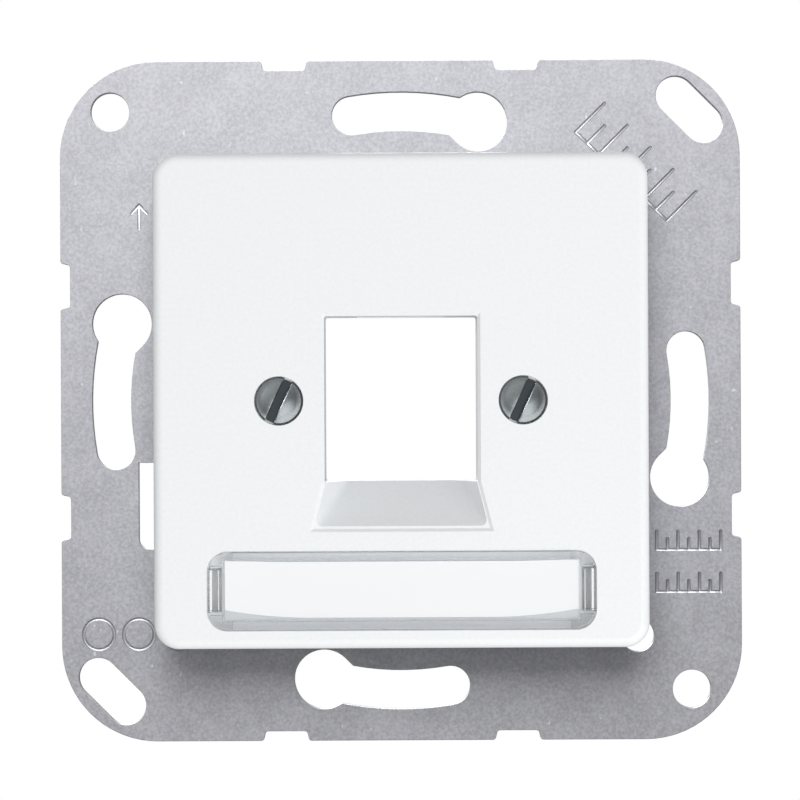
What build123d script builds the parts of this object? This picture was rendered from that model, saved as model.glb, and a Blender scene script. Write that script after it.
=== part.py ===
from build123d import *
import os
from math import asin, cos, degrees, hypot, radians, sin, tan

# A flush-mounted outlet cover on its steel support plate, in millimetres.
# X runs to the right, Z up, and the front looks along -Y.
# The origin is the centre of the support plate's back face, which lies on the wall.
# A height is a distance ahead of the wall, so a point at height h has y = -h.

# Support plate
plate_side = 71.0
plate_thickness = 1.0
plate_corner_r = 10.0
notch_offset = 12.1
notch_mouth = 4.75
notch_floor = 4.3
notch_depth = 1.0
notch_r = 0.35

# Keyhole slots for the wall box screws, by the inset of their circle from the plate's sides
fixing_inset = 5.3
fixing_slot_width = 4.05
fixing_slot_end = 9.65
keyhole_r = 3.1
keyhole_turn = 15.6
keyhole_flank = 1.4

# Corner holes and slots
corner_inset = 5.25
corner_hole_r = 2.0
corner_slot_width = 4.1
corner_slot_length = 8.2

# Middle opening of the plate, with a tongue at each side that takes a cover screw
opening_side_inset = 4.65
opening_top_inset = 3.65
opening_r = 3.0
tongue_height = 10.0
tongue_gap = 1.55
tongue_r = 1.6
tongue_root_r = 1.5
collar_r = 2.5
collar_length = 1.6
earth_hole_r = 1.7
earth_hole_inset = 0.5

# Cut-out at the left edge of the opening, for the cover's keying lug
bay_web = 0.775
bay_height = 9.0
bay_z = -10.9
bay_r = 1.0

# Cover, by its inset from the plate's sides
cover_inset = 10.35
cover_corner_r = 2.6
cover_inner_r = 1.0
cover_front = 9.5
cover_gap = 1.5
cover_draft = 0.5
cover_edge_r = 1.0
front_wall = 2.0
skirt_wall = 1.6

# Keying lug on the cover's left side
lug_r = 2.8
lug_reach = 0.3
lug_rise = 0.55
lug_top = 4.5
lug_tip = 0.4

# Keystone port and its collar
port_width = 15.5
port_top = 8.55
port_bottom = -8.25
port_corner_r = 0.25
port_edge = 0.3
port_wall = 1.5
port_depth = 7.2
latch_width = 9.0
latch_depth = 2.2
latch_from_front = 3.6
latch_skin = 0.6

# Slanted recess below the port
recess_height = 4.7
recess_flare = 1.2
recess_flank = 1.8
recess_depth = 5.6
recess_edge_r = 0.7
recess_wall = 1.4

# Screws and their bosses
screw_spacing = 24.7
screw_r = 1.5
screw_past = 1.4
screw_chamfer = 0.5
head_r = 2.4
head_rim = 0.3
head_chamfer = 0.15
head_dome_r = 2.1
head_dome = 0.5
head_sink = 0.25
slot_width = 0.9
slot_depth = 0.95
slot_chamfer = 0.08
slot_turn = 65.0
thread_clearance = 0.05
screw_clearance = 0.25
head_clearance = 0.1
boss_r = 3.4

# Label window, its pocket and the card
label_inset = 2.0
window_width = 39.2
window_height = 7.9
window_r = 2.0
window_thickness = 1.0
window_edge_r = 0.25
window_depth = 2.5
window_clearance = 0.1
window_wall = 0.85
window_end_wall = 1.5
window_side_lip = 0.8
window_draft = 4.0
window_leg = 2.4
tongue_slit = 0.4
snap_height = 4.2
snap_length = 4.3
snap_thickness = 1.1
snap_chamfer = 0.3
snap_clearance = 0.15
snap_gap = 0.3
pocket_wall = 1.2
pocket_floor = 1.2
card_clearance = 0.2
card_thickness = 0.3
card_play = 0.1

# Ribs behind the cover's front
rib_thickness = 1.0
rib_depth = 4.0
rib_offset = 7.0
foot_width = 2.4
foot_depth = 1.2
foot_inset = 4.9

# Heights ahead of the wall
plate_front = plate_thickness
cover_back = plate_front + cover_gap
cover_face = plate_front + cover_front
wall_back = cover_face - front_wall
pocket_seat = cover_face - window_depth
port_back = cover_face - port_depth

# Places that several pieces share
fixing_circle_r = plate_side / 2 - fixing_inset
corner_offset = plate_side / 2 - corner_inset
cover_side = plate_side - 2 * cover_inset
cover_inner = cover_side - 2 * skirt_wall
opening_width = cover_side - 2 * opening_side_inset
opening_height = cover_side - 2 * opening_top_inset
earth_hole_offset = cover_side / 2 - earth_hole_inset
bay_left = fixing_circle_r - fixing_slot_width / 2 - bay_web
lug_z = bay_z + lug_rise
label_z = label_inset + window_height / 2 - cover_side / 2
screw_x = screw_spacing / 2
port_middle = (port_top + port_bottom) / 2
port_height = port_top - port_bottom
port_half = port_width / 2
pocket_width = window_width + 2 * window_clearance
pocket_height = window_height + 2 * window_clearance
pocket_r = window_r + window_clearance
snap_x = window_width / 2 - snap_thickness / 2
snap_tip = cover_face - snap_length
well_width = snap_thickness + 2 * snap_clearance
well_height = snap_height + 2 * snap_clearance
well_x = pocket_width / 2 - well_width / 2
well_seat = snap_tip - snap_gap
window_inner_width = window_width - 2 * window_end_wall
window_inner_height = window_height - 2 * window_wall
card_width = window_inner_width - 2 * card_clearance
card_height = window_inner_height - 2 * card_clearance
card_bed = cover_face - window_thickness - card_play - card_thickness
tongue_tip = port_half + tongue_gap
recess_bottom = port_bottom - recess_height


def slab(outline, low, high):
    """A flat outline, drawn as seen from the front, between two heights ahead of the wall."""
    return extrude(Plane.XZ.offset(low) * outline, high - low)


def block(left, right, bottom, top, low, high):
    """A box by its sides as seen from the front, and its two heights."""
    width, height = right - left, top - bottom
    return slab(Pos((left + right) / 2, (bottom + top) / 2) * Rectangle(width, height), low, high)


def rod(x, z, radius, low, high):
    """A round bar along the depth."""
    return slab(Pos(x, z) * Circle(radius), low, high)


def at_fixing_circle(turn):
    """A point of the fixing circle, by its turn in degrees clockwise from the top."""
    return fixing_circle_r * sin(radians(turn)), fixing_circle_r * cos(radians(turn))


def beside_notch(vertex, reach):
    """Whether a corner of the outline lies on a notch's mouth or floor, that far from the middle."""
    far = max(abs(vertex.X), abs(vertex.Y))
    along = min(abs(vertex.X), abs(vertex.Y))
    return abs(far - reach) < 0.01 and abs(along - notch_offset) < notch_mouth


def plate_outline():
    """The rounded square with two notches in each side, their corners softened."""
    outline = RectangleRounded(plate_side, plate_side, plate_corner_r)
    edge = plate_side / 2
    floor = edge - notch_depth
    half_mouth, half_floor = notch_mouth / 2, notch_floor / 2
    notch = Polygon(
        (-half_floor, floor), (half_floor, floor), (half_mouth, edge), (-half_mouth, edge), align=None
    )
    for turn in range(4):
        for side in (-1, 1):
            outline -= Rot(0, 0, 90 * turn) * Pos(side * notch_offset, 0) * notch
    corners = [v for v in outline.vertices() if beside_notch(v, edge) or beside_notch(v, floor)]
    return fillet(corners, notch_r)


def keyhole():
    """An arc slot that opens into a round hole, with one slanted flank between them."""
    path = CenterArc((0, 0), fixing_circle_r, 90 - keyhole_turn, keyhole_turn + fixing_slot_end)
    x, z = at_fixing_circle(keyhole_turn)
    diagonal = cos(radians(45))
    touch = (x - keyhole_r * diagonal, z - keyhole_r * diagonal)
    start = (touch[0] - keyhole_flank * diagonal, touch[1] + keyhole_flank * diagonal)
    flank = Polygon((x, z), start, touch, align=None)
    return SlotArc(path, fixing_slot_width) + Pos(x, z) * Circle(keyhole_r) + flank


def middle_opening():
    """The opening behind the cover, less the two tongues, plus the bay at the left."""
    opening = RectangleRounded(opening_width, opening_height, opening_r)
    for side in (-1, 1):
        reach = opening_width / 2 - tongue_tip
        middle = side * (tongue_tip + reach / 2)
        opening -= Pos(middle, 0) * Rectangle(reach, tongue_height)
    tips = [v for v in opening.vertices() if abs(abs(v.X) - tongue_tip) < 0.01]
    roots = [
        v
        for v in opening.vertices()
        if abs(abs(v.X) - opening_width / 2) < 0.01 and abs(abs(v.Y) - tongue_height / 2) < 0.01
    ]
    opening = fillet(tips, tongue_r)
    roots = [v for v in opening.vertices() if any(v.distance_to(root) < 0.01 for root in roots)]
    opening = fillet(roots, tongue_root_r)
    bay_right = opening_width / 2 - tongue_root_r
    bay = Pos(-(bay_left + bay_right) / 2, bay_z) * Rectangle(bay_left - bay_right, bay_height)
    lower_corner = bay.vertices().group_by(Axis.X)[0].sort_by(Axis.Y)[0]
    return opening + fillet(lower_corner, bay_r)


def support_plate():
    """Stamped steel plate, one piece with its two threaded collars."""
    face = plate_outline() - middle_opening()
    for turn in range(4):
        face -= Rot(0, 0, 90 * turn) * keyhole()
    slot = Rot(0, 0, -45) * SlotOverall(corner_slot_length, corner_slot_width)
    for side in (-1, 1):
        face -= Pos(-side * corner_offset, side * corner_offset) * Circle(corner_hole_r)
        face -= Pos(side * corner_offset, side * corner_offset) * slot
    face -= Pos(earth_hole_offset, -earth_hole_offset) * Circle(earth_hole_r)
    plate = slab(face, 0, plate_front)
    for side in (-1, 1):
        plate += rod(side * screw_x, 0, collar_r, -collar_length, plate_front)
    for side in (-1, 1):
        plate -= rod(side * screw_x, 0, screw_r + thread_clearance, -collar_length, plate_front)
    return plate


def cover_shell():
    """The cap itself: a square with draft, rounded at its front edge and hollow behind."""
    outline = RectangleRounded(cover_side, cover_side, cover_corner_r)
    shell = extrude(Plane.XZ.offset(cover_back) * outline, cover_face - cover_back, taper=cover_draft)
    shell = fillet(shell.faces().sort_by(Axis.Y)[0].edges(), cover_edge_r)
    hollow = RectangleRounded(cover_inner, cover_inner, cover_inner_r)
    shell -= extrude(Plane.XZ.offset(cover_back) * hollow, wall_back - cover_back, taper=cover_draft)
    return shell


def recess_wedge(wall=0.0):
    """The slanted recess between its two end triangles, or its hood with a wall under the floor."""
    floor_length = hypot(recess_height, recess_depth)
    low = recess_bottom - wall * floor_length / recess_depth
    deep_height = cover_face - recess_depth - wall * floor_length / recess_height
    ends = []
    for side in (-1, 1):
        top = (side * (port_half + wall), -cover_face, port_bottom)
        bottom = (side * (port_half + recess_flare + wall), -cover_face, low)
        deep = (side * (port_half - recess_flank + wall), -deep_height, port_bottom)
        ends.append(make_face(Polyline(top, bottom, deep, close=True)))
    return loft(ends, ruled=True)


def recess_cut():
    """The recess with its floor rounded into the two flanks."""
    wedge = recess_wedge()
    flank_middle = port_half + (recess_flare - recess_flank) / 2
    flank_edges = [e for e in wedge.edges() if abs(abs((e @ 0.5).X) - flank_middle) < 0.01]
    return fillet(flank_edges, recess_edge_r)


def port_cut():
    """The keystone opening, right through the collar, square below where the recess runs into it."""
    outline = Pos(0, port_middle) * RectangleRounded(port_width, port_height, port_corner_r)
    low = cover_face - recess_depth
    foot = block(-port_half, port_half, port_bottom, port_bottom + port_corner_r, low, cover_face)
    return slab(outline, port_back, cover_face) + foot


def mouth_cut():
    """The chamfer along the front edges of the opening and its recess."""
    half = port_half + recess_flare
    outline = Polygon(
        (-port_half, port_top), (-port_half, port_bottom), (-half, recess_bottom),
        (half, recess_bottom), (port_half, port_bottom), (port_half, port_top), align=None,
    )
    return extrude(Plane.XZ.offset(cover_face - port_edge) * outline, port_edge, taper=-45)


def port_collar():
    """Walls round the keystone opening, behind the front."""
    outline = Pos(0, port_middle) * Rectangle(port_width + 2 * port_wall, port_height + 2 * port_wall)
    return slab(outline, port_back, wall_back)


def latch_windows():
    """The two windows in the collar's top and bottom walls, where a jack's lugs catch."""
    high = cover_face - latch_from_front
    low = high - latch_depth
    half = latch_width / 2
    top = block(-half, half, port_top, port_top + port_wall, low, high)
    under_recess = cover_face - recess_depth - latch_skin
    bottom = block(-half, half, port_bottom - port_wall, port_bottom, port_back, under_recess)
    return top, bottom


def label_tray():
    """The box behind the front wall that carries the label's pocket and its two wells."""
    outline = RectangleRounded(
        pocket_width + 2 * pocket_wall, pocket_height + 2 * pocket_wall, pocket_r + pocket_wall
    )
    tray = slab(Pos(0, label_z) * outline, pocket_seat - pocket_floor, wall_back)
    well = Rectangle(well_width + 2 * pocket_wall, well_height + 2 * pocket_wall)
    for side in (-1, 1):
        tray += slab(Pos(side * well_x, label_z) * well, well_seat - pocket_floor, wall_back)
    return tray


def label_cuts():
    """The label's pocket round its raised card bed, and a blind well at each end for the tongues."""
    outline = RectangleRounded(pocket_width, pocket_height, pocket_r)
    pocket = slab(Pos(0, label_z) * outline, pocket_seat, cover_face)
    pocket -= slab(Pos(0, label_z) * Rectangle(card_width, card_height), pocket_seat, card_bed)
    well = Rectangle(well_width, well_height)
    return [pocket] + [slab(Pos(side * well_x, label_z) * well, well_seat, pocket_seat) for side in (-1, 1)]


def cover_ribs():
    """Ribs from the bosses, the collar and the label tray out to the skirt."""
    low = wall_back - rib_depth
    half = rib_thickness / 2
    reach = cover_inner / 2 + skirt_wall / 2
    collar_top = port_top + port_wall / 2
    ribs = []
    for side in (-1, 1):
        inner, outer = sorted((side * screw_x, side * reach))
        ribs.append(block(inner, outer, -half, half, low, wall_back))
        x = side * rib_offset
        ribs.append(block(x - half, x + half, collar_top, reach, low, wall_back))
        inner, outer = sorted((side * (port_half + port_wall / 2), side * screw_x))
        ribs.append(block(inner, outer, -half, half, low, wall_back))
    return ribs


def cover_feet():
    """Four feet inside the skirt that stand on the plate."""
    feet = []
    wall = cover_inner / 2
    half = foot_width / 2
    for side in (-1, 1):
        left, right = sorted((side * (wall - foot_depth), side * (wall + skirt_wall / 2)))
        for z in (foot_inset - wall, wall - foot_inset):
            feet.append(block(left, right, z - half, z + half, plate_front, wall_back))
    return feet


def screw_hole(x):
    """A boss's clearance hole with the countersink for the screw's head."""
    hole = rod(x, 0, screw_r + screw_clearance, plate_front, cover_face)
    sink_r = head_r + head_clearance
    sink_low = cover_face - head_sink - head_rim - (head_r - screw_r)
    depth = sink_r - screw_r - screw_clearance
    cone = Plane((x, -(sink_low + head_r - screw_r), 0), z_dir=(0, 1, 0)) * Cone(
        sink_r, sink_r - depth, depth, align=(Align.CENTER, Align.CENTER, Align.MIN)
    )
    mouth = rod(x, 0, sink_r, cover_face - head_sink - head_rim, cover_face)
    return hole + cone + mouth


def centre_cover():
    """The moulded cover, one piece."""
    cover = cover_shell()
    middle = -(cover_side / 2 + lug_reach - lug_r)
    lug = rod(middle, lug_z, lug_r, lug_tip, lug_top)
    lug &= block(-cover_side, -cover_inner / 2, -cover_side, cover_side, lug_tip, lug_top)
    cover += [lug, port_collar(), label_tray()]
    behind_front = block(-cover_side, cover_side, -cover_side, port_bottom, port_back, wall_back)
    cover += recess_wedge(recess_wall) & behind_front
    cover += cover_ribs() + cover_feet()
    for side in (-1, 1):
        cover += rod(side * screw_x, 0, boss_r, plate_front, wall_back)
    cover -= [port_cut(), recess_cut(), mouth_cut(), *latch_windows(), *label_cuts()]
    cover -= [screw_hole(-screw_x), screw_hole(screw_x)]
    return cover


def label_window():
    """Clear window: a thin plate with a shallow rim, four corner legs and two end tongues."""
    outer = RectangleRounded(window_width, window_height, window_r)
    under = cover_face - window_thickness
    spread = 2 * (under - pocket_seat) * tan(radians(window_draft))
    inner = Pos(0, label_z) * Rectangle(window_inner_width + spread, window_inner_height + spread)
    window = slab(Pos(0, label_z) * outer, under, cover_face)
    rim = slab(Pos(0, label_z) * outer, pocket_seat, under)
    rim -= extrude(Plane.XZ.offset(pocket_seat) * inner, under - pocket_seat, taper=window_draft)
    between_legs = window_width / 2 - window_leg
    top, bottom = label_z + window_height / 2, label_z - window_height / 2
    rim -= block(-between_legs, between_legs, bottom, top, pocket_seat, under - window_side_lip)
    half_snap = snap_height / 2
    for side in (-1, 1):
        inner_x, outer_x = sorted((side * window_inner_width / 2, side * window_width / 2))
        for edge in (label_z + half_snap, label_z - half_snap - tongue_slit):
            rim -= block(inner_x, outer_x, edge, edge + tongue_slit, pocket_seat, under)
        rim -= block(inner_x, outer_x, label_z - half_snap, label_z + half_snap, pocket_seat, under)
        left, right = side * snap_x - snap_thickness / 2, side * snap_x + snap_thickness / 2
        tongue = block(left, right, label_z - half_snap, label_z + half_snap, snap_tip, under)
        tip_edges = tongue.faces().sort_by(Axis.Y)[-1].edges().filter_by(Axis.Z)
        rim += chamfer(tip_edges, snap_chamfer)
    window += rim
    face_edges = window.faces().sort_by(Axis.Y)[0].edges()
    return fillet(face_edges, window_edge_r)


def label_card():
    """The paper card that lies on its bed, close under the window."""
    return slab(Pos(0, label_z) * Rectangle(card_width, card_height), card_bed, card_bed + card_thickness)


def on_slot_lip(point, rim_top):
    """Whether a point lies on one of the slot's two long edges, on the dome."""
    across = point.Z * cos(radians(slot_turn)) - point.X * sin(radians(slot_turn))
    return abs(abs(across) - slot_width / 2) < 0.01 and -point.Y > rim_top + 0.01


def screw(x):
    """A slotted raised countersunk screw, turned round its own axis."""
    rim_top = cover_face - head_sink
    rim_low = rim_top - head_rim
    neck = rim_low - (head_r - screw_r)
    tip = -collar_length - screw_past
    dome_top = rim_top + head_dome
    ball_r = (head_dome_r**2 + head_dome**2) / (2 * head_dome)
    dome_angle = degrees(asin(head_dome_r / ball_r))
    profile = Polyline(
        (0, dome_top),
        (0, tip),
        (screw_r - screw_chamfer, tip),
        (screw_r, tip + screw_chamfer),
        (screw_r, neck),
        (head_r, rim_low),
        (head_r, rim_top - head_chamfer),
        (head_r - head_chamfer, rim_top),
        (head_dome_r, rim_top),
    )
    dome = CenterArc((0, dome_top - ball_r), ball_r, 90 - dome_angle, dome_angle)
    section = Plane((0, 0, 0), x_dir=(1, 0, 0), z_dir=(0, 0, -1)) * make_face(profile + dome)
    slot = Rot(0, 0, slot_turn) * Rectangle(3 * head_r, slot_width)
    body = revolve(section, Axis.Y) - slab(slot, dome_top - slot_depth, dome_top)
    lips = [e for e in body.edges() if on_slot_lip(e @ 0.5, rim_top)]
    return Pos(x, 0, 0) * chamfer(lips, slot_chamfer)


os.makedirs("parts", exist_ok=True)
nodes = {
    "support_plate": support_plate(),
    "centre_cover": centre_cover(),
    "label_window": label_window(),
    "label_card": label_card(),
    "screw_left": screw(-screw_x),
    "screw_right": screw(screw_x),
}
for name, node in nodes.items():
    export_step(node, f"parts/{name}.step")
    print(name, round(node.volume, 2))
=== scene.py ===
import math

import bmesh
import bpy
from mathutils import Matrix, Vector


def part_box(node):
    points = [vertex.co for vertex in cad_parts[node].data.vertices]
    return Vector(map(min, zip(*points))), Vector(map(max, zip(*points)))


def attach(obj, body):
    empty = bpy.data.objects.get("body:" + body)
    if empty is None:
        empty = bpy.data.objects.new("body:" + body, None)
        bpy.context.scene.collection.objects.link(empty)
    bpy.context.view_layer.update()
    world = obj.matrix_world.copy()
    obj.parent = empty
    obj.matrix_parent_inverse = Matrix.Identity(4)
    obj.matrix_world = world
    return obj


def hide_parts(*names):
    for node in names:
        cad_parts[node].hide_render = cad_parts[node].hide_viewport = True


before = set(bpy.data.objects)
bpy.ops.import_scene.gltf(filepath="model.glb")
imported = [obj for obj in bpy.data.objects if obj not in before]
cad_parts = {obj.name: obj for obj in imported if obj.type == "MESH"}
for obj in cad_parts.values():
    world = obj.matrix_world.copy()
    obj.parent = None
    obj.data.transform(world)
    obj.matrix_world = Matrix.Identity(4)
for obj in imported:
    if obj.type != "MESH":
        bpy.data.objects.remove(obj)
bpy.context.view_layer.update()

bl_info = {
    "name": "Outlet Cover on a Support Plate",
    "version": (1, 0, 0),
    "blender": (4, 5, 0),
    "location": "3D View > Sidebar > Outlet Cover",
    "description": "Dresses a flush-mounted outlet cover, its plate, screws and label window",
    "category": "Object",
}

MM = 0.001
PLATE_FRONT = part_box("support_plate")[0][1]
SCREW_LOW, SCREW_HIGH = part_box("screw_left")
CARD_LOW, CARD_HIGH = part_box("label_card")
SCREW_X = -(SCREW_LOW[0] + SCREW_HIGH[0]) / 2
SCREW_HEAD, SCREW_TIP = SCREW_LOW[1], SCREW_HIGH[1]

# One picture pixel in the plate's plane, and the picture's point in front of the plate's middle
PIXEL = MM / 9.577
MIDDLE_X, MIDDLE_Y = 400.9, 400.4

# Places of the stamped marks in the picture, in pixels: the slanted scale's ends, the arrow's foot
# and tip, the ends of the two level scales and the middles of the rings
SLANTED_SCALE = (577, 133), (668, 222)
ARROW = (140, 228), (140, 204)
LEVEL_SCALES = ((656, 551), (720, 551)), ((656, 593), (720, 593))
RINGS = (98, 633), (138, 633), (178, 633)

# Edges that turn by more than this are rounded, and are no part of a smooth face
SHARP_TURN = math.radians(35)

# Each lamp's place and the side of its square, in metres. The photograph lights the plate from
# above and the cover from the lower right. The screws reflect one lamp in their heads and a small
# one at the left in the lips of their slots, and the rear lamp lights what faces the wall.
LAMPS = {
    "plate_lamp": ((-0.04, -0.45, 0.28), 0.3),
    "cover_lamp": ((0.2, -0.37, -0.22), 0.3),
    "screw_lamp": ((0.05, -0.36, -0.2), 0.4),
    "lip_lamp": ((-0.3, -0.07, 0.14), 0.12),
    "rear_lamp": ((-0.15, 0.45, 0.25), 0.4),
}

# The object hangs on a wall, so the floor lies well below it
FLOOR_HEIGHT, FLOOR_RADIUS = -0.5, 3


def linear(hex_colour):
    """An sRGB hex colour as the linear RGBA that shader sockets take."""
    values = [int(hex_colour[i : i + 2], 16) / 255 for i in (1, 3, 5)]
    return [v / 12.92 if v <= 0.04045 else ((v + 0.055) / 1.055) ** 2.4 for v in values] + [1.0]


def add_node(tree, kind, inputs=None, links=None, **settings):
    """One shader node with its settings, its input values and the links into it."""
    node = tree.nodes.new(kind)
    for name, value in settings.items():
        setattr(node, name, value)
    for name, value in (inputs or {}).items():
        node.inputs[name].default_value = value
    for name, source in (links or {}).items():
        tree.links.new(source, node.inputs[name])
    return node


def new_material(name):
    """An empty node material, its tree and its output node."""
    material = bpy.data.materials.new(name)
    material.use_nodes = True
    tree = material.node_tree
    tree.nodes.clear()
    return material, tree, add_node(tree, "ShaderNodeOutputMaterial")


def dress(piece, material):
    """Gives a piece one material all over."""
    piece.data.materials.clear()
    piece.data.materials.append(material)


def pick(*pieces):
    """Leaves only these objects selected, the first one active."""
    bpy.ops.object.select_all(action="DESELECT")
    for piece in pieces:
        piece.select_set(True)
    bpy.context.view_layer.objects.active = pieces[0]


def select_where(piece, test):
    """Selects, in edit mode, the vertices whose place passes a test."""
    bpy.ops.mesh.select_mode(type="VERT")
    bpy.ops.mesh.select_all(action="DESELECT")
    shape = bmesh.from_edit_mesh(piece.data)
    for vertex in shape.verts:
        vertex.select_set(test(vertex.co))
    shape.select_flush(True)
    bmesh.update_edit_mesh(piece.data)


def settle(piece):
    """Puts a piece's place, turn and scale into its mesh."""
    pick(piece)
    bpy.ops.object.transform_apply(location=True, rotation=True, scale=True)


def joined_copy(node_name, name):
    """A new piece with a CAD node's form, its loose triangles joined into whole faces."""
    piece = bpy.data.objects.new(name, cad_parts[node_name].data.copy())
    bpy.context.scene.collection.objects.link(piece)
    pick(piece)
    bpy.ops.object.mode_set(mode="EDIT")
    bpy.ops.mesh.select_all(action="SELECT")
    bpy.ops.mesh.customdata_custom_splitnormals_clear()
    bpy.ops.mesh.remove_doubles(threshold=0.0005 * MM)
    # The triangles of one plane become one face, and the facets of a round wall stay
    bpy.ops.mesh.dissolve_limited(angle_limit=math.radians(0.5))
    bpy.ops.object.mode_set(mode="OBJECT")
    return piece


def cut_away(piece, cutters):
    """Cuts the joined volume of some cutters out of a piece and removes them."""
    pick(*cutters)
    bpy.ops.object.join()
    cutter = bpy.context.object
    pick(piece)
    cut = piece.modifiers.new("cut", "BOOLEAN")
    cut.operation, cut.solver, cut.use_self = "DIFFERENCE", "EXACT", True
    cut.object = cutter
    bpy.ops.object.modifier_apply(modifier=cut.name)
    bpy.data.objects.remove(cutter)


def round_edges(piece, width):
    """Rounds the sharp edges of a piece."""
    pick(piece)
    edge = piece.modifiers.new("edge", "BEVEL")
    edge.width, edge.segments = width, 2
    edge.limit_method, edge.angle_limit = "ANGLE", SHARP_TURN
    edge.use_clamp_overlap = False
    bpy.ops.object.modifier_apply(modifier=edge.name)


def smooth(piece):
    """Smooths a piece's round faces and keeps its flat faces flat up to their edges."""
    pick(piece)
    bpy.ops.object.shade_smooth_by_angle(angle=SHARP_TURN)
    flat = piece.modifiers.new("flat", "WEIGHTED_NORMAL")
    flat.weight, flat.keep_sharp = 100, True
    bpy.ops.object.modifier_apply(modifier=flat.name)


def depth_band(tree, place, front, starts, full, fades, ends):
    """1 from full to fades and 0 outside starts and ends, all depths in mm behind a front."""
    depth = add_node(tree, "ShaderNodeSeparateXYZ", links={"Vector": place}).outputs["Y"]
    slopes = [
        add_node(
            tree,
            "ShaderNodeMapRange",
            {"From Min": front + zero * MM, "From Max": front + one * MM},
            {"Value": depth},
        ).outputs["Result"]
        for zero, one in ((starts, full), (ends, fades))
    ]
    band = add_node(
        tree, "ShaderNodeMath", links={0: slopes[0], 1: slopes[1]}, operation="MULTIPLY"
    )
    return band.outputs["Value"]


def zinc_plated_steel(finish):
    """Cold-rolled steel with bright zinc plating: a fine crystalline grain under a soft sheen."""
    material, tree, output = new_material("zinc_plated_steel")
    # Mostly fine grain with a fifth of broad patches, between the tones where the noise lies
    place = add_node(tree, "ShaderNodeTexCoord").outputs["Object"]
    grain = add_node(
        tree,
        "ShaderNodeTexNoise",
        {"Scale": 1 / (finish.zinc_grain * MM), "Detail": 3.0, "Roughness": 0.6},
        {"Vector": place},
    ).outputs["Fac"]
    cloud = add_node(
        tree,
        "ShaderNodeTexNoise",
        {"Scale": 1 / (finish.zinc_cloud * MM), "Detail": 2.0},
        {"Vector": place},
    ).outputs["Fac"]
    cloudy_grain = add_node(tree, "ShaderNodeMix", {"Factor": 0.2}, {"A": grain, "B": cloud})
    tone = add_node(
        tree, "ShaderNodeValToRGB", links={"Fac": cloudy_grain.outputs["Result"]}
    )
    tone.color_ramp.elements[0].position = 0.36
    tone.color_ramp.elements[0].color = linear(finish.zinc_dark)
    tone.color_ramp.elements[1].position = 0.64
    tone.color_ramp.elements[1].color = linear(finish.zinc_light)
    # Only the peaks of this noise become specks, so they are sparse
    speck = add_node(
        tree,
        "ShaderNodeTexNoise",
        {"Scale": 1 / (finish.zinc_speck * MM), "Detail": 0.0},
        {"Vector": place},
    )
    sparse = add_node(
        tree,
        "ShaderNodeMapRange",
        {"From Min": 0.82, "From Max": 0.9},
        {"Value": speck.outputs["Fac"]},
    )
    specked = add_node(
        tree,
        "ShaderNodeMix",
        {"B": linear(finish.zinc_bright)},
        {"Factor": sparse.outputs["Result"], "A": tone.outputs["Color"]},
        data_type="RGBA",
    )
    # The punches burnish the marks and the upper part of the sheared edges, just below the front
    burnished = depth_band(
        tree, place, PLATE_FRONT, starts=0.01, full=0.05, fades=0.2, ends=0.3
    )
    colour = add_node(
        tree,
        "ShaderNodeMix",
        {"B": linear(finish.zinc_burnished)},
        {"Factor": burnished, "A": specked.outputs["Result"]},
        data_type="RGBA",
    )
    grainy = add_node(
        tree,
        "ShaderNodeMapRange",
        {"From Min": 0.3, "From Max": 0.7, "To Min": 0.61, "To Max": 0.67},
        {"Value": grain},
    )
    rough = add_node(
        tree, "ShaderNodeMix", {"B": 0.42}, {"Factor": burnished, "A": grainy.outputs["Result"]}
    )
    bump = add_node(
        tree,
        "ShaderNodeBump",
        {"Strength": 0.25, "Distance": 0.02 * MM},
        {"Height": grain},
    )
    steel = add_node(
        tree,
        "ShaderNodeBsdfPrincipled",
        {"Metallic": 1.0},
        {
            "Base Color": colour.outputs["Result"],
            "Roughness": rough.outputs["Result"],
            "Normal": bump.outputs["Normal"],
        },
    )
    tree.links.new(steel.outputs["BSDF"], output.inputs["Surface"])
    return material


def card_bed(tree, place):
    """1 on the flat bed under the label card and 0 elsewhere, from the CAD card's own box."""
    axes = add_node(tree, "ShaderNodeSeparateXYZ", links={"Vector": place})
    touch = 0.01 * MM
    sides = []
    for axis, low, high in zip("XYZ", CARD_LOW, CARD_HIGH):
        side = add_node(
            tree,
            "ShaderNodeMath",
            {1: (low + high) / 2, 2: (high - low) / 2 + touch},
            {0: axes.outputs[axis]},
            operation="COMPARE",
        )
        sides.append(side.outputs["Value"])
    inside = sides[0]
    for side in sides[1:]:
        both = add_node(tree, "ShaderNodeMath", links={0: inside, 1: side}, operation="MULTIPLY")
        inside = both.outputs["Value"]
    return inside


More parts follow.
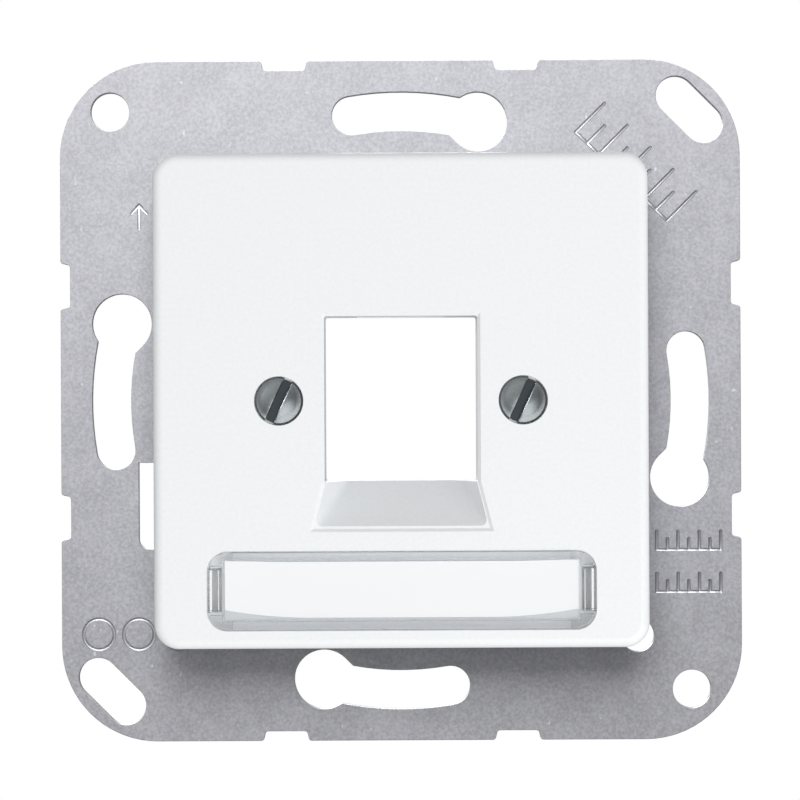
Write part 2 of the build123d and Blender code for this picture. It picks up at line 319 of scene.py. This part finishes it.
def moulded_thermoplastic(finish):
    """Injection-moulded white ABS from a polished tool: even colour and a soft gloss, with a
    painted shade on the bed under the card.
    """
    material, tree, output = new_material("moulded_white_abs")
    place = add_node(tree, "ShaderNodeTexCoord").outputs["Object"]
    tooling = add_node(
        tree, "ShaderNodeTexNoise", {"Scale": 1 / (0.35 * MM), "Detail": 2.0}, {"Vector": place}
    ).outputs["Fac"]
    shade = add_node(tree, "ShaderNodeValToRGB", links={"Fac": tooling})
    shade.color_ramp.elements[0].position = 0.3
    shade.color_ramp.elements[0].color = linear(finish.plastic_dark)
    shade.color_ramp.elements[1].position = 0.7
    shade.color_ramp.elements[1].color = linear(finish.plastic_light)
    bump = add_node(
        tree,
        "ShaderNodeBump",
        {"Strength": 0.06, "Distance": 0.01 * MM},
        {"Height": tooling},
    )
    # Painted shade: the bed shows where the card's edge rises, and a greyer tone stands in for the
    # shade it lies in
    colour = add_node(
        tree,
        "ShaderNodeMix",
        {"B": linear(finish.painted_bed_shade)},
        {"Factor": card_bed(tree, place), "A": shade.outputs["Color"]},
        data_type="RGBA",
    )
    plastic = add_node(
        tree,
        "ShaderNodeBsdfPrincipled",
        {"Roughness": 0.32, "IOR": 1.54},
        {"Base Color": colour.outputs["Result"], "Normal": bump.outputs["Normal"]},
    )
    tree.links.new(plastic.outputs["BSDF"], output.inputs["Surface"])
    return material


def clear_polycarbonate():
    """Injection-moulded clear polycarbonate: polished, and bright at its edges.
    It lets lamp light and soft light straight through, so the card under it stays evenly lit."""
    material, tree, output = new_material("clear_polycarbonate")
    clear = add_node(
        tree,
        "ShaderNodeBsdfPrincipled",
        {
            "Base Color": linear("#FBFCFD"),
            "Roughness": 0.03,
            "IOR": 1.58,
            "Transmission Weight": 1.0,
        },
    )
    through = add_node(tree, "ShaderNodeBsdfTransparent", {"Color": linear("#FFFFFF")})
    path = add_node(tree, "ShaderNodeLightPath")
    soft = add_node(
        tree,
        "ShaderNodeMath",
        links={0: path.outputs["Is Shadow Ray"], 1: path.outputs["Is Diffuse Ray"]},
        operation="MAXIMUM",
    )
    mix = add_node(
        tree,
        "ShaderNodeMixShader",
        links={0: soft.outputs["Value"], 1: clear.outputs["BSDF"], 2: through.outputs["BSDF"]},
    )
    tree.links.new(mix.outputs["Shader"], output.inputs["Surface"])
    return material


def uncoated_card():
    """Uncoated white card, cut clean: matte, with faint fibres."""
    material, tree, output = new_material("uncoated_white_card")
    place = add_node(tree, "ShaderNodeTexCoord").outputs["Object"]
    fibre = add_node(
        tree, "ShaderNodeTexNoise", {"Scale": 1 / (0.2 * MM), "Detail": 4.0}, {"Vector": place}
    )
    shade = add_node(tree, "ShaderNodeValToRGB", links={"Fac": fibre.outputs["Fac"]})
    shade.color_ramp.elements[0].color = linear("#F2F3F4")
    shade.color_ramp.elements[1].color = linear("#FBFCFC")
    paper = add_node(
        tree,
        "ShaderNodeBsdfPrincipled",
        {"Roughness": 0.9},
        {"Base Color": shade.outputs["Color"]},
    )
    tree.links.new(paper.outputs["BSDF"], output.inputs["Surface"])
    return material


def turned_screw_steel(finish):
    """Turned and zinc-plated screw steel: dull grey, with a fine uneven grain."""
    material, tree, output = new_material("turned_screw_steel")
    place = add_node(tree, "ShaderNodeTexCoord").outputs["Object"]
    grain = add_node(
        tree, "ShaderNodeTexNoise", {"Scale": 1 / (0.15 * MM), "Detail": 3.0}, {"Vector": place}
    ).outputs["Fac"]
    colour = add_node(tree, "ShaderNodeValToRGB", links={"Fac": grain})
    colour.color_ramp.elements[0].color = linear(finish.screw_dark)
    colour.color_ramp.elements[1].color = linear(finish.screw_light)
    bump = add_node(
        tree,
        "ShaderNodeBump",
        {"Strength": 0.3, "Distance": 0.01 * MM},
        {"Height": grain},
    )
    # Painted shade: the slot's floor is coloured darker than the head, for the shade that falls in
    # the slot
    shaded = depth_band(tree, place, SCREW_HEAD, starts=0.5, full=0.9, fades=1.0, ends=1.3)
    with_slot_shade = add_node(
        tree,
        "ShaderNodeMix",
        {"B": linear(finish.screw_slot_shade)},
        {"Factor": shaded, "A": colour.outputs["Color"]},
        data_type="RGBA",
    )
    steel = add_node(
        tree,
        "ShaderNodeBsdfPrincipled",
        {"Metallic": 1.0, "Roughness": 0.35},
        {"Base Color": with_slot_shade.outputs["Result"], "Normal": bump.outputs["Normal"]},
    )
    tree.links.new(steel.outputs["BSDF"], output.inputs["Surface"])
    return material


class OutletShape(bpy.types.PropertyGroup):
    """Sizes of the fine forms: rounded edges, stamped marks, the card's edge and threads."""

    plate_edge: bpy.props.FloatProperty(
        name="Plate Edge",
        description="Rounding of the sheared plate's edges",
        default=0.08 * MM,
        unit="LENGTH",
    )
    mark_width: bpy.props.FloatProperty(
        name="Mark Width",
        description="Width of a stamped stroke",
        default=0.4 * MM,
        unit="LENGTH",
    )
    mark_depth: bpy.props.FloatProperty(
        name="Mark Depth",
        description="Depth of a stamped stroke",
        default=0.14 * MM,
        unit="LENGTH",
    )
    window_edge: bpy.props.FloatProperty(
        name="Window Edge",
        description="Rounding of the clear window's edges",
        default=0.07 * MM,
        unit="LENGTH",
    )
    card_trim: bpy.props.FloatProperty(
        name="Card Trim",
        description="How much the paper card is cut short at its lower edge",
        default=0.15 * MM,
        unit="LENGTH",
    )
    card_curl: bpy.props.FloatProperty(
        name="Card Curl",
        description="How far the card's lower corners stand above its lower edge",
        default=0.8 * MM,
        unit="LENGTH",
    )
    card_curl_reach: bpy.props.FloatProperty(
        name="Card Curl Reach",
        description="How far from a corner its rise is felt",
        default=9.0 * MM,
        unit="LENGTH",
    )
    screw_edge: bpy.props.FloatProperty(
        name="Screw Edge",
        description="Rounding of the screws' edges",
        default=0.03 * MM,
        unit="LENGTH",
    )
    thread_pitch: bpy.props.FloatProperty(
        name="Thread Pitch",
        description="Advance of the screws' thread in one turn",
        default=0.5 * MM,
        unit="LENGTH",
    )
    thread_length: bpy.props.FloatProperty(
        name="Thread Length",
        description="Length of the threaded shank",
        default=8.0 * MM,
        unit="LENGTH",
    )


class OutletFinish(bpy.types.PropertyGroup):
    """Colours and grain sizes of the outlet's finishes."""

    zinc_dark: bpy.props.StringProperty(
        name="Zinc Dark", description="Darker grains of the zinc plating, sRGB", default="#AAAAAF"
    )
    zinc_light: bpy.props.StringProperty(
        name="Zinc Light",
        description="Lighter grains of the zinc plating, sRGB",
        default="#C4C4C9",
    )
    zinc_bright: bpy.props.StringProperty(
        name="Zinc Bright", description="Sparse light specks in the zinc, sRGB", default="#D6D6DC"
    )
    zinc_burnished: bpy.props.StringProperty(
        name="Burnished Zinc",
        description="Walls of the stamped marks and the sheared edges, sRGB",
        default="#C2C2C7",
    )
    zinc_grain: bpy.props.FloatProperty(
        name="Zinc Grain",
        description="Size of one zinc grain in millimetres",
        default=0.3,
        min=0.05,
    )
    zinc_speck: bpy.props.FloatProperty(
        name="Zinc Speck Size",
        description="Size of the sparse light specks in millimetres",
        default=0.6,
        min=0.1,
    )
    zinc_cloud: bpy.props.FloatProperty(
        name="Zinc Cloud",
        description="Size of the broad patches in millimetres",
        default=4.0,
        min=0.5,
    )
    plastic_dark: bpy.props.StringProperty(
        name="Plastic Dark", description="Darker tone of the white plastic, sRGB", default="#EEF0F2"
    )
    plastic_light: bpy.props.StringProperty(
        name="Plastic Light",
        description="Lighter tone of the white plastic, sRGB",
        default="#F2F4F6",
    )
    # The bed under the card gets this greyer tone as painted shade
    painted_bed_shade: bpy.props.StringProperty(
        name="Card Bed", description="Tone of the bed under the card, sRGB", default="#CDD0D3"
    )
    screw_dark: bpy.props.StringProperty(
        name="Screw Dark", description="Darker tone of the screws, sRGB", default="#74797B"
    )
    screw_light: bpy.props.StringProperty(
        name="Screw Light", description="Lighter tone of the screws, sRGB", default="#9A9FA1"
    )
    # The slots' floors get this darker tone as painted shade
    screw_slot_shade: bpy.props.StringProperty(
        name="Screw Slot", description="Tone of the slots' oily floors, sRGB", default="#41474A"
    )


class StudioSettings(bpy.types.PropertyGroup):
    """The camera, the lamps and the surroundings."""

    distance: bpy.props.FloatProperty(
        name="Camera Distance",
        description="From the plate's front",
        default=0.285,
        unit="LENGTH",
    )
    frame_width: bpy.props.FloatProperty(
        name="Frame Width",
        description="Width that the picture takes in at the plate's front",
        default=800 * PIXEL,
        unit="LENGTH",
    )
    aim_x: bpy.props.FloatProperty(
        name="Aim X",
        description="Camera's place to the right of the middle",
        default=-0.000094,
        unit="LENGTH",
    )
    aim_z: bpy.props.FloatProperty(
        name="Aim Z",
        description="Camera's place above the middle",
        default=0.00004,
        unit="LENGTH",
    )
    roll: bpy.props.FloatProperty(
        name="Roll",
        description="Turn of the camera about its view",
        default=-math.radians(0.27),
        unit="ROTATION",
    )
    plate_power: bpy.props.FloatProperty(
        name="Plate Lamp", description="Power of the plate's soft lamp in watts", default=2.15
    )
    cover_power: bpy.props.FloatProperty(
        name="Cover Lamp", description="Power of the cover's soft lamp in watts", default=0.72
    )
    screw_power: bpy.props.FloatProperty(
        name="Screw Lamp", description="Power of the screw heads' lamp in watts", default=1.1
    )
    lip_power: bpy.props.FloatProperty(
        name="Lip Lamp", description="Power of the lamp at the slots' lips in watts", default=0.9
    )
    rear_power: bpy.props.FloatProperty(
        name="Rear Lamp", description="Power of the soft rear lamp in watts", default=2.0
    )
    soft_low: bpy.props.FloatProperty(
        name="Soft Light Behind", description="Strength of the soft light from behind", default=0.33
    )
    soft_high: bpy.props.FloatProperty(
        name="Soft Light in Front",
        description="Strength of the soft light from the front",
        default=1.0,
    )
    metal_low: bpy.props.FloatProperty(
        name="Low Reflections",
        description="Strength of what metal reflects from below",
        default=0.25,
    )
    metal_high: bpy.props.FloatProperty(
        name="High Reflections",
        description="Strength of what metal reflects from above",
        default=0.9,
    )
    floor_glow: bpy.props.FloatProperty(
        name="Floor Glow",
        description="Share of the floor's tone that shines by itself to the camera",
        default=0.88,
        subtype="FACTOR",
    )


def in_plate(px, py):
    """A point of the plate's front, in metres, from its place in the 800 x 800 picture."""
    return Vector(((px - MIDDLE_X) * PIXEL, PLATE_FRONT, (MIDDLE_Y - py) * PIXEL))


def groove(shape):
    """The radius of a round punch that leaves strokes of the asked size, and its axis's lift."""
    radius = (shape.mark_width**2 / 4 + shape.mark_depth**2) / (2 * shape.mark_depth)
    return radius, Vector((0, shape.mark_depth - radius, 0))


def stroke_cutter(start, end, shape):
    """A round bar that stamps one stroke into the plate's front."""
    along = end - start
    radius, lift = groove(shape)
    bpy.ops.object.select_all(action="DESELECT")
    bpy.ops.mesh.primitive_uv_sphere_add(segments=12, ring_count=8, radius=radius)
    cutter = bpy.context.object
    bpy.ops.object.mode_set(mode="EDIT")
    # The ball's upper half, its equator left out, moves to the stroke's other end
    select_where(cutter, lambda place: place.z > radius / 10)
    bpy.ops.transform.translate(value=(0, 0, along.length))
    bpy.ops.object.mode_set(mode="OBJECT")
    cutter.rotation_euler = (0, math.atan2(along.x, along.z), 0)
    cutter.location = start + lift
    settle(cutter)
    return cutter


def ring_cutter(middle, ring_radius, shape):
    """A ring that stamps a plain circle into the plate's front."""
    radius, lift = groove(shape)
    bpy.ops.object.select_all(action="DESELECT")
    bpy.ops.mesh.primitive_torus_add(
        location=middle + lift,
        rotation=(math.pi / 2, 0, 0),
        major_radius=ring_radius,
        minor_radius=radius,
        major_segments=48,
        minor_segments=14,
    )
    cutter = bpy.context.object
    settle(cutter)
    return cutter


def scale_strokes(left, right, count, height):
    """Strokes of a plain scale: its line, and ticks that stand on it, each second one shorter."""
    strokes = [(left, right)]
    for k in range(count):
        foot = left.lerp(right, k / (count - 1))
        strokes.append((foot, foot + height * (1.0 if k % 2 == 0 else 0.6)))
    return strokes


class OUTLET_OT_plate(bpy.types.Operator):
    """Stamps plain marks into the support plate and rounds its sheared edges"""

    bl_idname = "outlet.plate"
    bl_label = "Stamped Plate"

    def execute(self, context):
        shape = context.scene.outlet_shape
        plate = joined_copy("support_plate", "stamped_plate")
        left, right = (in_plate(*end) for end in SLANTED_SCALE)
        strokes = scale_strokes(left, right, count=9, height=Vector((3.0, 0, 3.0)) * MM)
        foot, tip = (in_plate(*end) for end in ARROW)
        strokes += [(foot, tip)]
        barbs = [Vector((side * 0.8, 0, -0.9)) * MM for side in (-1, 1)]
        strokes += [(tip + barb, tip) for barb in barbs]
        for ends in LEVEL_SCALES:
            left, right = (in_plate(*end) for end in ends)
            strokes += scale_strokes(left, right, count=7, height=Vector((0, 0, 1.9)) * MM)
        round_edges(plate, shape.plate_edge)
        cutters = [stroke_cutter(start, end, shape) for start, end in strokes]
        cutters += [ring_cutter(in_plate(*middle), 1.6 * MM, shape) for middle in RINGS]
        cut_away(plate, cutters)
        smooth(plate)
        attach(plate, "base")
        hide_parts("support_plate")
        return {"FINISHED"}


class OUTLET_OT_window(bpy.types.Operator):
    """Rounds the edges of the clear window, as its mould leaves them"""

    bl_idname = "outlet.window"
    bl_label = "Label Window"

    def execute(self, context):
        window = joined_copy("label_window", "moulded_window")
        round_edges(window, context.scene.outlet_shape.window_edge)
        smooth(window)
        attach(window, "window")
        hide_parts("label_window")
        return {"FINISHED"}


class OUTLET_OT_card(bpy.types.Operator):
    """Cuts the paper card, with a lower edge that rises in a curve towards both its corners"""

    bl_idname = "outlet.card"
    bl_label = "Label Card"

    def execute(self, context):
        shape = context.scene.outlet_shape
        low, high = (Vector(corner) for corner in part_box("label_card"))
        low.z += shape.card_trim
        bpy.ops.object.select_all(action="DESELECT")
        bpy.ops.mesh.primitive_grid_add(
            x_subdivisions=72,
            y_subdivisions=8,
            size=1,
            location=(low + high) / 2,
            rotation=(math.pi / 2, 0, 0),
        )
        card = bpy.context.object
        card.name = "paper_card"
        card.scale = (high.x - low.x, high.z - low.z, 1)
        settle(card)
        bpy.ops.object.mode_set(mode="EDIT")
        for side in (low.x, high.x):
            corner = Vector((side, (low.y + high.y) / 2, low.z))
            select_where(card, lambda place: (place - corner).length < 0.01 * MM)
            bpy.ops.transform.translate(
                value=(0, 0, shape.card_curl),
                use_proportional_edit=True,
                proportional_edit_falloff="SHARP",
                proportional_size=shape.card_curl_reach,
            )
        bpy.ops.object.mode_set(mode="OBJECT")
        sheet = card.modifiers.new("sheet", "SOLIDIFY")
        sheet.thickness, sheet.offset = high.y - low.y, 0
        bpy.ops.object.modifier_apply(modifier=sheet.name)
        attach(card, "base")
        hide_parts("label_card")
        return {"FINISHED"}


def thread_cutter(shape):
    """The helical V groove of a metric thread, round the Y axis from the tip."""
    shank_radius, groove_radius = 1.45 * MM, 0.22 * MM
    bpy.ops.object.select_all(action="DESELECT")
    bpy.ops.mesh.primitive_circle_add(
        vertices=3,
        radius=groove_radius,
        location=(shank_radius, SCREW_TIP + shape.thread_pitch, 0),
        rotation=(0, 0, math.pi / 2),
    )
    cutter = bpy.context.object
    settle(cutter)
    turn = cutter.modifiers.new("turn", "SCREW")
    turn.axis, turn.screw_offset = "Y", -shape.thread_pitch
    turn.iterations = round(shape.thread_length / shape.thread_pitch) + 1
    turn.steps = turn.render_steps = 28
    bpy.ops.object.modifier_apply(modifier=turn.name)
    bpy.ops.object.mode_set(mode="EDIT")
    bpy.ops.mesh.select_all(action="SELECT")
    bpy.ops.mesh.fill_holes(sides=3)
    bpy.ops.mesh.select_all(action="SELECT")
    bpy.ops.mesh.normals_make_consistent(inside=False)
    bpy.ops.object.mode_set(mode="OBJECT")
    return cutter


class OUTLET_OT_screws(bpy.types.Operator):
    """Cuts the threads of the two screws and rounds their edges"""

    bl_idname = "outlet.screws"
    bl_label = "Screws"

    def execute(self, context):
        shape = context.scene.outlet_shape
        left = joined_copy("screw_left", "threaded_screw_left")
        round_edges(left, shape.screw_edge)
        cutter = thread_cutter(shape)
        cutter.location.x = -SCREW_X
        settle(cutter)
        cut_away(left, [cutter])
        smooth(left)
        right = bpy.data.objects.new("threaded_screw_right", left.data.copy())
        context.scene.collection.objects.link(right)
        right.location.x = 2 * SCREW_X
        settle(right)
        for side, screw in (("left", left), ("right", right)):
            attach(screw, "base")
            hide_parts(f"screw_{side}")
        return {"FINISHED"}


class OUTLET_OT_finish(bpy.types.Operator):
    """Gives every piece its finish"""

    bl_idname = "outlet.finish"
    bl_label = "Finishes"

    def execute(self, context):
        finish = context.scene.outlet_finish
        dress(bpy.data.objects["stamped_plate"], zinc_plated_steel(finish))
        dress(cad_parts["centre_cover"], moulded_thermoplastic(finish))
        dress(bpy.data.objects["moulded_window"], clear_polycarbonate())
        dress(bpy.data.objects["paper_card"], uncoated_card())
        screw_steel = turned_screw_steel(finish)
        for side in ("left", "right"):
            dress(bpy.data.objects[f"threaded_screw_{side}"], screw_steel)
        return {"FINISHED"}


def area_lamp(name, power, receivers=None):
    """A soft square lamp turned towards the outlet, which lights only its receivers, if any."""
    place, size = LAMPS[name]
    data = bpy.data.lights.new(name, "AREA")
    data.energy, data.size = power, size
    lamp = bpy.data.objects.new(name, data)
    lamp.location = place
    lamp.rotation_euler = (-Vector(place)).to_track_quat("-Z", "Y").to_euler()
    bpy.context.scene.collection.objects.link(lamp)
    if receivers:
        lit = bpy.data.collections.new(f"{name}_receivers")
        for piece in receivers:
            lit.objects.link(piece)
        lamp.light_linking.receiver_collection = lit


def towards(tree, direction, way, leans, strengths):
    """A strength that changes smoothly with how far a ray's direction leans towards a way."""
    lean = add_node(
        tree,
        "ShaderNodeVectorMath",
        {1: Vector(way).normalized()},
        {0: direction},
        operation="DOT_PRODUCT",
    )
    return add_node(
        tree,
        "ShaderNodeMapRange",
        {
            "From Min": leans[0],
            "From Max": leans[1],
            "To Min": strengths[0],
            "To Max": strengths[1],
        },
        {"Value": lean.outputs["Value"]},
        interpolation_type="SMOOTHSTEP",
    ).outputs["Result"]


def camera_ray(tree):
    """1 for rays from the camera, also for those that came through the clear window."""
    path = add_node(tree, "ShaderNodeLightPath")
    return add_node(
        tree,
        "ShaderNodeMath",
        links={0: path.outputs["Is Camera Ray"], 1: path.outputs["Is Transmission Ray"]},
        operation="MAXIMUM",
    ).outputs["Value"]


def white_world(studio):
    """White surroundings, plain white to the camera and soft light from the front to the rest.
    Metal and gloss reflect a grey that brightens upwards and to the left instead of that white,
    because the plate in the photograph is darker at the bottom."""
    world = bpy.data.worlds.new("white_surroundings")
    world.use_nodes = True
    tree = world.node_tree
    tree.nodes.clear()
    direction = add_node(tree, "ShaderNodeTexCoord").outputs["Generated"]
    path = add_node(tree, "ShaderNodeLightPath")
    reflected = towards(
        tree,
        direction,
        way=(-0.5, 0, 1),
        leans=(-0.2, 0.7),
        strengths=(studio.metal_low, studio.metal_high),
    )
    soft = towards(
        tree,
        direction,
        way=(0.3, -1, -0.22),
        leans=(-0.3, 1),
        strengths=(studio.soft_low, studio.soft_high),
    )
    lit = add_node(
        tree,
        "ShaderNodeMix",
        links={"Factor": path.outputs["Is Glossy Ray"], "A": soft, "B": reflected},
    )
    strength = add_node(
        tree,
        "ShaderNodeMix",
        {"B": 1.0},
        {"Factor": camera_ray(tree), "A": lit.outputs["Result"]},
    )
    light = add_node(
        tree,
        "ShaderNodeBackground",
        {"Color": linear("#FFFFFF")},
        {"Strength": strength.outputs["Result"]},
    )
    output = add_node(tree, "ShaderNodeOutputWorld")
    tree.links.new(light.outputs["Background"], output.inputs["Surface"])
    return world


def pale_floor(studio):
    """A pale round floor. To the camera it shines mostly by itself, so it stays near white and
    keeps a faint shadow. Diffuse and glossy rays pass it, so it takes no light from the object."""
    bpy.ops.object.select_all(action="DESELECT")
    bpy.ops.mesh.primitive_circle_add(
        vertices=96, radius=FLOOR_RADIUS, fill_type="NGON", location=(0, 0, FLOOR_HEIGHT)
    )
    floor = bpy.context.object
    floor.name = "floor"
    settle(floor)
    floor.visible_glossy = floor.visible_diffuse = False
    material, tree, output = new_material("pale_floor")
    paint = add_node(
        tree, "ShaderNodeBsdfPrincipled", {"Base Color": linear("#F4F4F4"), "Roughness": 0.9}
    )
    glow = add_node(tree, "ShaderNodeEmission", {"Color": linear("#FFFFFF")})
    share = add_node(
        tree,
        "ShaderNodeMath",
        {1: studio.floor_glow},
        {0: camera_ray(tree)},
        operation="MULTIPLY",
    )
    mixed = add_node(
        tree,
        "ShaderNodeMixShader",
        links={0: share.outputs["Value"], 1: paint.outputs["BSDF"], 2: glow.outputs["Emission"]},
    )
    tree.links.new(mixed.outputs["Shader"], output.inputs["Surface"])
    dress(floor, material)


class OUTLET_OT_stage(bpy.types.Operator):
    """Adds the camera, the lamps, the white surroundings and the floor"""

    bl_idname = "outlet.stage"
    bl_label = "Studio"

    def execute(self, context):
        studio = context.scene.outlet_studio
        scene = context.scene
        scene.view_settings.view_transform = "Standard"
        data = bpy.data.cameras.new("front_camera")
        data.sensor_width = 36.0
        data.lens = data.sensor_width * studio.distance / studio.frame_width
        data.clip_start = 0.01
        camera = bpy.data.objects.new("front_camera", data)
        camera.location = (studio.aim_x, PLATE_FRONT - studio.distance, studio.aim_z)
        level_view = Matrix.Rotation(math.pi / 2, 3, "X")
        camera.rotation_euler = (level_view @ Matrix.Rotation(studio.roll, 3, "Z")).to_euler()
        scene.collection.objects.link(camera)
        scene.camera = camera
        plate = bpy.data.objects["stamped_plate"]
        screws = [bpy.data.objects[f"threaded_screw_{side}"] for side in ("left", "right")]
        others = [
            piece
            for piece in scene.objects
            if piece.type == "MESH" and piece not in (plate, *screws)
        ]
        area_lamp("plate_lamp", studio.plate_power, [plate])
        area_lamp("cover_lamp", studio.cover_power, others)
        area_lamp("screw_lamp", studio.screw_power, screws)
        area_lamp("lip_lamp", studio.lip_power, screws)
        area_lamp("rear_lamp", studio.rear_power)
        scene.world = white_world(studio)
        pale_floor(studio)
        return {"FINISHED"}


class OUTLET_PT_panel(bpy.types.Panel):
    """Lists the outlet's operators and settings"""

    bl_idname = "OUTLET_PT_panel"
    bl_label = "Outlet Cover"
    bl_space_type = "VIEW_3D"
    bl_region_type = "UI"
    bl_category = "Outlet Cover"

    def draw(self, context):
        layout = self.layout
        for operator in OPERATORS:
            layout.operator(operator.bl_idname)
        scene = context.scene
        for group in (scene.outlet_shape, scene.outlet_finish, scene.outlet_studio):
            for name in group.__annotations__:
                layout.prop(group, name)


OPERATORS = (
    OUTLET_OT_plate,
    OUTLET_OT_window,
    OUTLET_OT_card,
    OUTLET_OT_screws,
    OUTLET_OT_finish,
    OUTLET_OT_stage,
)
GROUPS = {
    "outlet_shape": OutletShape,
    "outlet_finish": OutletFinish,
    "outlet_studio": StudioSettings,
}


def register():
    for cls in (*GROUPS.values(), *OPERATORS, OUTLET_PT_panel):
        bpy.utils.register_class(cls)
    for name, group in GROUPS.items():
        setattr(bpy.types.Scene, name, bpy.props.PointerProperty(type=group))


def unregister():
    for name in GROUPS:
        delattr(bpy.types.Scene, name)
    for cls in reversed((*GROUPS.values(), *OPERATORS, OUTLET_PT_panel)):
        bpy.utils.unregister_class(cls)


def main():
    register()
    bpy.ops.outlet.plate()
    bpy.ops.outlet.window()
    bpy.ops.outlet.card()
    bpy.ops.outlet.screws()
    bpy.ops.outlet.finish()
    bpy.ops.outlet.stage()


if __name__ == "__main__":
    main()
